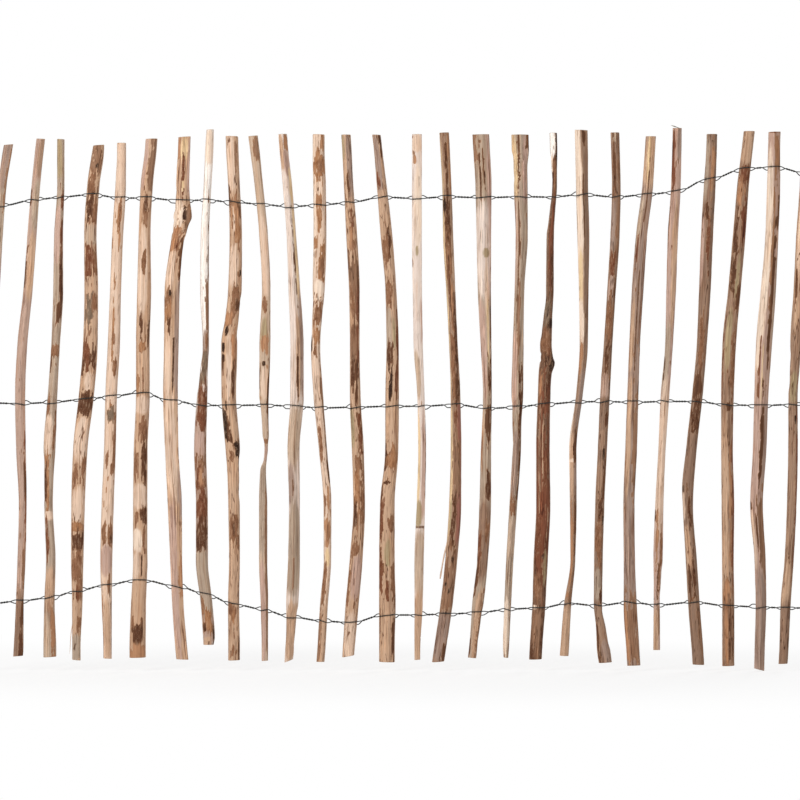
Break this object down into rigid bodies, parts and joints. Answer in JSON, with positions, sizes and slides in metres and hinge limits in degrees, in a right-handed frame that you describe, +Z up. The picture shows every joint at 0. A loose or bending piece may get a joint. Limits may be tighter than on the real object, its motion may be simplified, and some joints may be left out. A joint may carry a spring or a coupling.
{
  "type": "hazel picket fence",
  "caption": "Stretch of split hazel picket fence: uneven upright cleft pickets held by three rows of twisted galvanised wire pairs.",
  "frame": {"origin": "on the ground line, under the middle of the fence's length and thickness", "axes": "+X along the fence to its right end as seen from the front, +Y from front to back, +Z up"},
  "size_m": [2.04, 0.0301, 1.2482],
  "materials": {
    "hazel_wood": "rough split hazel, pale cleft wood with patches of brown bark",
    "galvanised_wire": "dull galvanised steel wire"
  },
  "bodies": {
    "root": {"picket_01": "hazel_wood", "picket_02": "hazel_wood", "picket_03": "hazel_wood", "picket_04": "hazel_wood", "picket_05": "hazel_wood", "picket_06": "hazel_wood", "picket_07": "hazel_wood", "picket_08": "hazel_wood", "picket_09": "hazel_wood", "picket_10": "hazel_wood", "picket_11": "hazel_wood", "picket_12": "hazel_wood", "picket_13": "hazel_wood", "picket_14": "hazel_wood", "picket_15": "hazel_wood", "picket_16": "hazel_wood", "picket_17": "hazel_wood", "picket_18": "hazel_wood", "picket_19": "hazel_wood", "picket_20": "hazel_wood", "picket_21": "hazel_wood", "picket_22": "hazel_wood", "picket_23": "hazel_wood", "picket_24": "hazel_wood", "picket_25": "hazel_wood", "picket_26": "hazel_wood", "picket_27": "hazel_wood", "top_wire_front": "galvanised_wire", "top_wire_back": "galvanised_wire", "middle_wire_front": "galvanised_wire", "middle_wire_back": "galvanised_wire", "bottom_wire_front": "galvanised_wire", "bottom_wire_back": "galvanised_wire"}
  },
  "joints": []
}
